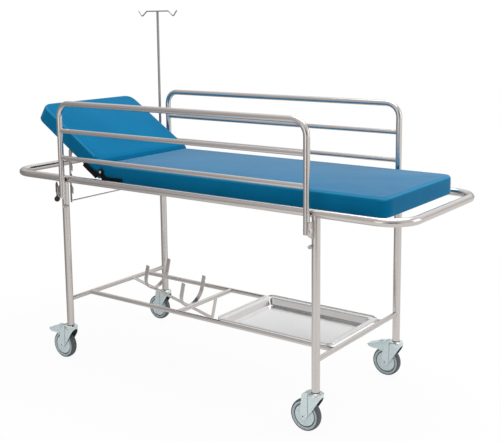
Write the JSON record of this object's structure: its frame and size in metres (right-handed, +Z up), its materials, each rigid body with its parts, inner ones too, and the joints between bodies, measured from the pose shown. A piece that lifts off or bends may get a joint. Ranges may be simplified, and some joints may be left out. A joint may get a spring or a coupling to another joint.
{
  "type": "patient transfer trolley",
  "caption": "Stainless tube hospital trolley on braked swivel castors, with a padded bed, ratchet backrest, fold-down side rails, drip pole, lift-out tray and bottle cradle.",
  "frame": {"origin": "on the floor under the middle of the trolley", "axes": "+X runs from the head end to the foot end, +Y to the drip pole's side, +Z up"},
  "size_m": [2.056, 0.765, 1.586],
  "materials": {
    "stainless": "satin stainless",
    "zinc": "bright zinc plate",
    "tyre": "grey non-marking rubber",
    "wheel_plastic": "pale grey moulded",
    "vinyl": "smooth wipe-clean coated cloth over foam",
    "board": "plywood wrapped in the pad's cover",
    "black_metal": "black paint",
    "knob": "glossy black",
    "rubber": "matt black"
  },
  "bodies": {
    "frame": {"top_frame_head": "stainless", "top_frame_foot": "stainless", "leg_front_head": "stainless", "leg_front_foot": "stainless", "leg_rear_head": "stainless", "leg_rear_foot": "stainless", "low_cross_bars": "stainless", "low_long_bars": "stainless", "bed_cross_bars": "stainless", "main_board": "board", "main_pad": "vinyl", "hinge_fixed_leaves": "black_metal", "hinge_pins": "stainless", "rack_pegs": "stainless", "rail_brackets": "stainless", "rail_pivot_bolts": "stainless", "rail_bumpers": "rubber", "rail_buffers": "rubber", "latch_guides": "black_metal", "iv_socket": "stainless", "cradle_strip": "stainless", "cradle_hoops": "stainless", "castor_stems": "zinc"},
    "backrest": {"backrest_board": "board", "backrest_pad": "vinyl", "hinge_moving_leaves": "black_metal", "rack_lugs": "stainless"},
    "rack": {"backrest_racks": "stainless", "rack_rod": "stainless"},
    "rail_front": {"rail_front_hoop": "stainless", "rail_front_bars": "stainless", "rail_front_caps": "stainless"},
    "rail_rear": {"rail_rear_hoop": "stainless", "rail_rear_bars": "stainless", "rail_rear_caps": "stainless"},
    "latch_front": {"latch_front_rod": "black_metal", "latch_front_knob": "knob"},
    "latch_rear": {"latch_rear_rod": "black_metal", "latch_rear_knob": "knob"},
    "drip_pole": {"iv_pole": "stainless", "iv_hanger": "stainless"},
    "tray": {"tray": "stainless"},
    "castor_front_head": {"castor_front_head_fork": "zinc", "castor_front_head_axle": "zinc"},
    "wheel_front_head": {"castor_front_head_wheel": "wheel_plastic", "castor_front_head_tyre": "tyre"},
    "castor_front_foot": {"castor_front_foot_fork": "zinc", "castor_front_foot_axle": "zinc"},
    "wheel_front_foot": {"castor_front_foot_wheel": "wheel_plastic", "castor_front_foot_tyre": "tyre"},
    "castor_rear_head": {"castor_rear_head_fork": "zinc", "castor_rear_head_axle": "zinc"},
    "wheel_rear_head": {"castor_rear_head_wheel": "wheel_plastic", "castor_rear_head_tyre": "tyre"},
    "castor_rear_foot": {"castor_rear_foot_fork": "zinc", "castor_rear_foot_axle": "zinc"},
    "wheel_rear_foot": {"castor_rear_foot_wheel": "wheel_plastic", "castor_rear_foot_tyre": "tyre"},
    "pedal_front_head": {"castor_front_head_pedal": "zinc"},
    "pedal_rear_foot": {"castor_rear_foot_pedal": "zinc"}
  },
  "joints": [
    {"name": "backrest_hinge", "type": "hinge", "parent": "frame", "child": "backrest", "pos_m": [-0.46, 0, 0.887], "axis": [0, 1, 0], "range_deg": [-33, 17]},
    {"name": "rack_pivot", "type": "hinge", "parent": "backrest", "child": "rack", "pos_m": [-0.67333, 0, 0.95877], "axis": [0, 1, 0], "range_deg": [-8.5, 16.2]},
    {"name": "rail_front_fold", "type": "hinge", "parent": "frame", "child": "rail_front", "pos_m": [0, -0.364, 0.784], "axis": [1, 0, 0], "range_deg": [0, 180]},
    {"name": "rail_rear_fold", "type": "hinge", "parent": "frame", "child": "rail_rear", "pos_m": [0, 0.364, 0.784], "axis": [-1, 0, 0], "range_deg": [0, 180]},
    {"name": "drip_pole_turn", "type": "hinge", "parent": "frame", "child": "drip_pole", "pos_m": [-0.69, 0.353, 0.83], "axis": [0, 0, 1], "continuous": true},
    {"name": "tray_lift", "type": "slide", "parent": "frame", "child": "tray", "axis": [0, 0, 1], "range_m": [0, 0.15]},
    {"name": "latch_front_pull", "type": "slide", "parent": "frame", "child": "latch_front", "axis": [0, 0, -1], "range_m": [0, 0.009], "stiffness_N_per_m": 300, "springref_m": -0.01},
    {"name": "latch_rear_pull", "type": "slide", "parent": "frame", "child": "latch_rear", "axis": [0, 0, -1], "range_m": [0, 0.009], "stiffness_N_per_m": 300, "springref_m": -0.01},
    {"name": "castor_front_head_swivel", "type": "hinge", "parent": "frame", "child": "castor_front_head", "pos_m": [-0.66, -0.327, 0.15], "axis": [0, 0, 1], "continuous": true},
    {"name": "wheel_front_head_spin", "type": "hinge", "parent": "castor_front_head", "child": "wheel_front_head", "pos_m": [-0.702, -0.327, 0.0625], "axis": [0, 1, 0], "continuous": true},
    {"name": "pedal_front_head_press", "type": "hinge", "parent": "castor_front_head", "child": "pedal_front_head", "pos_m": [-0.701, -0.327, 0.145], "axis": [0, -1, 0], "range_deg": [0, 10]},
    {"name": "castor_front_foot_swivel", "type": "hinge", "parent": "frame", "child": "castor_front_foot", "pos_m": [0.66, -0.327, 0.15], "axis": [0, 0, 1], "continuous": true},
    {"name": "wheel_front_foot_spin", "type": "hinge", "parent": "castor_front_foot", "child": "wheel_front_foot", "pos_m": [0.618, -0.327, 0.0625], "axis": [0, 1, 0], "continuous": true},
    {"name": "castor_rear_head_swivel", "type": "hinge", "parent": "frame", "child": "castor_rear_head", "pos_m": [-0.66, 0.327, 0.15], "axis": [0, 0, 1], "continuous": true},
    {"name": "wheel_rear_head_spin", "type": "hinge", "parent": "castor_rear_head", "child": "wheel_rear_head", "pos_m": [-0.702, 0.327, 0.0625], "axis": [0, 1, 0], "continuous": true},
    {"name": "castor_rear_foot_swivel", "type": "hinge", "parent": "frame", "child": "castor_rear_foot", "pos_m": [0.66, 0.327, 0.15], "axis": [0, 0, 1], "continuous": true},
    {"name": "wheel_rear_foot_spin", "type": "hinge", "parent": "castor_rear_foot", "child": "wheel_rear_foot", "pos_m": [0.618, 0.327, 0.0625], "axis": [0, 1, 0], "continuous": true},
    {"name": "pedal_rear_foot_press", "type": "hinge", "parent": "castor_rear_foot", "child": "pedal_rear_foot", "pos_m": [0.619, 0.327, 0.145], "axis": [0, -1, 0], "range_deg": [0, 10]}
  ],
  "couplings": [
    {"joint": "rack_pivot", "follows": "backrest_hinge", "ratio": -0.48}
  ]
}
